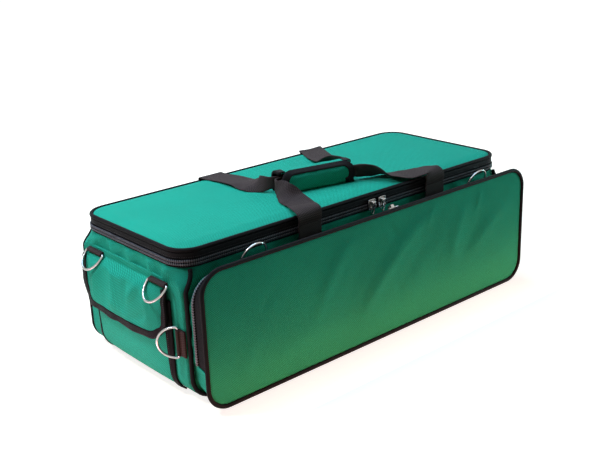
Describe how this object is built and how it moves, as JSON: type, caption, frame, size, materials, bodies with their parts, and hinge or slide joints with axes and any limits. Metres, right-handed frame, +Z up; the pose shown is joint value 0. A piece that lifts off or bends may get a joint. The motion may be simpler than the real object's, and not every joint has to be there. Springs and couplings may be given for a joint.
{
  "type": "soft instrument case",
  "caption": "Soft zipped instrument case with a padded hinged lid, webbing handles, a flat zipped front pocket and a flapped end pouch.",
  "frame": {"origin": "on the floor, under the middle of the box (pocket and pouch not counted)", "axes": "+X runs along the case, away from the end with the pouch; -Y points out of the front pocket; +Z is up"},
  "size_m": [0.8, 0.3479, 0.2778],
  "materials": {
    "green_nylon": "plain-woven nylon, slight sheen",
    "black_nylon": "ribbed nylon webbing and tape",
    "lining_cloth": "brushed lining cloth",
    "foam": "closed-cell foam sheet",
    "board": "bare board",
    "coil": "moulded nylon coil",
    "nickel": "bright nickel plate"
  },
  "bodies": {
    "case": {"outer_shell": "green_nylon", "foam_wall_front": "foam", "foam_wall_back": "foam", "foam_end_left": "foam", "foam_end_right": "foam", "base_board": "board", "inner_lining": "lining_cloth", "front_rim_piping": "black_nylon", "back_rim_piping": "black_nylon", "body_zip_tape": "black_nylon", "body_zip_coil": "coil", "pocket_gusset": "green_nylon", "pocket_zip_tape": "black_nylon", "pocket_zip_coil": "coil", "end_pouch": "green_nylon", "pouch_binding_front": "black_nylon", "pouch_binding_back": "black_nylon", "pouch_loop_patch": "black_nylon", "front_ring_loop_left": "black_nylon", "front_ring_loop_right": "black_nylon", "strap_tab_left": "black_nylon", "strap_tab_right": "black_nylon", "front_strap_left": "black_nylon", "front_strap_right": "black_nylon", "back_strap_left": "black_nylon", "back_strap_right": "black_nylon"},
    "lid": {"lid_band": "black_nylon", "lid_piping": "black_nylon", "lid_panel": "green_nylon", "lid_foam": "foam", "lid_lining": "lining_cloth", "lid_zip_tape": "black_nylon", "lid_zip_coil": "coil", "lid_strap_left": "black_nylon", "lid_strap_right": "black_nylon"},
    "back_handle": {"back_handle_webbing": "black_nylon", "grip_pad": "green_nylon"},
    "grip_flap": {"grip_flap": "green_nylon"},
    "front_handle": {"front_handle_webbing": "black_nylon"},
    "pocket_panel": {"pocket_panel": "green_nylon", "pocket_panel_piping": "black_nylon", "pocket_panel_zip_tape": "black_nylon", "pocket_panel_zip_coil": "coil"},
    "end_flap": {"end_flap": "green_nylon", "end_flap_binding": "black_nylon", "flap_hook_patch": "black_nylon", "flap_ring_loop_back": "black_nylon", "flap_ring_loop_front": "black_nylon"},
    "flap_ring_back": {"flap_ring_back": "nickel"},
    "flap_ring_front": {"flap_ring_front": "nickel"},
    "front_ring_left": {"front_ring_left": "nickel"},
    "front_ring_right": {"front_ring_right": "nickel"},
    "strap_ring_left": {"strap_ring_left": "nickel"},
    "strap_ring_right": {"strap_ring_right": "nickel"},
    "main_slider_left": {"main_slider_left": "nickel"},
    "main_slider_right": {"main_slider_right": "nickel"},
    "main_pull_left": {"main_pull_left": "nickel"},
    "main_pull_right": {"main_pull_right": "nickel"},
    "pocket_slider": {"pocket_slider": "nickel"},
    "pocket_pull": {"pocket_pull": "nickel"}
  },
  "joints": [
    {"name": "lid_hinge", "type": "hinge", "parent": "case", "child": "lid", "pos_m": [0, 0.1448, 0.21985], "axis": [-1, 0, 0], "range_deg": [0, 100], "deforming": ["front_handle_webbing"]},
    {"name": "back_handle_lift", "type": "hinge", "parent": "lid", "child": "back_handle", "pos_m": [0, 0.1458, 0.2396], "axis": [-1, 0, 0], "range_deg": [0, 60], "deforming": ["front_handle_webbing"]},
    {"name": "grip_flap_hinge", "type": "hinge", "parent": "back_handle", "child": "grip_flap", "pos_m": [-0.03485, -0.06309, 0.2473], "axis": [0.9781, -0.2079, 0], "range_deg": [0, 75]},
    {"name": "front_handle_fold", "type": "hinge", "parent": "case", "child": "front_handle", "pos_m": [0, -0.152, 0.2283], "axis": [1, 0, 0], "range_deg": [0, 160], "deforming": ["front_handle_webbing"]},
    {"name": "pocket_panel_hinge", "type": "hinge", "parent": "case", "child": "pocket_panel", "pos_m": [0, -0.197, 0.0035], "axis": [1, 0, 0], "range_deg": [0, 45]},
    {"name": "end_flap_hinge", "type": "hinge", "parent": "case", "child": "end_flap", "pos_m": [-0.3702, 0, 0.1934], "axis": [0, 1, 0], "range_deg": [0, 95]},
    {"name": "flap_ring_back_hinge", "type": "hinge", "parent": "end_flap", "child": "flap_ring_back", "pos_m": [-0.3781, 0.092, 0.1844], "axis": [0, 1, 0], "range_deg": [0, 45]},
    {"name": "flap_ring_front_hinge", "type": "hinge", "parent": "end_flap", "child": "flap_ring_front", "pos_m": [-0.3781, -0.092, 0.1844], "axis": [0, 1, 0], "range_deg": [0, 45]},
    {"name": "front_ring_left_hinge", "type": "hinge", "parent": "case", "child": "front_ring_left", "pos_m": [-0.242, -0.1474, 0.197], "axis": [1, 0, 0], "range_deg": [-14, 20]},
    {"name": "front_ring_right_hinge", "type": "hinge", "parent": "case", "child": "front_ring_right", "pos_m": [0.288, -0.1474, 0.197], "axis": [1, 0, 0], "range_deg": [-14, 20]},
    {"name": "strap_ring_left_hinge", "type": "hinge", "parent": "case", "child": "strap_ring_left", "pos_m": [-0.3739, -0.128, 0.097], "axis": [0, 0, 1], "range_deg": [-12, 75]},
    {"name": "strap_ring_right_hinge", "type": "hinge", "parent": "case", "child": "strap_ring_right", "pos_m": [0.3739, -0.128, 0.097], "axis": [0, 0, -1], "range_deg": [-12, 75]},
    {"name": "main_slider_left_run", "type": "slide", "parent": "case", "child": "main_slider_left", "axis": [-1, 0, 0], "range_m": [0, 0.336]},
    {"name": "main_slider_right_run", "type": "slide", "parent": "case", "child": "main_slider_right", "axis": [1, 0, 0], "range_m": [0, 0.276]},
    {"name": "pocket_slider_run", "type": "slide", "parent": "case", "child": "pocket_slider", "axis": [1, 0, 0], "range_m": [-0.26, 0.2]},
    {"name": "main_pull_left_hinge", "type": "hinge", "parent": "main_slider_left", "child": "main_pull_left", "pos_m": [0.018, -0.1476, 0.21855], "axis": [-1, 0, 0], "range_deg": [0, 110]},
    {"name": "main_pull_right_hinge", "type": "hinge", "parent": "main_slider_right", "child": "main_pull_right", "pos_m": [0.042, -0.1476, 0.21855], "axis": [-1, 0, 0], "range_deg": [0, 110]},
    {"name": "pocket_pull_hinge", "type": "hinge", "parent": "pocket_slider", "child": "pocket_pull", "pos_m": [0.052, -0.15835, 0.2078], "axis": [-1, 0, 0], "range_deg": [0, 75]}
  ],
  "couplings": [
    {"joint": "front_handle_fold", "follows": "lid_hinge", "ratio": 1.6}
  ]
}
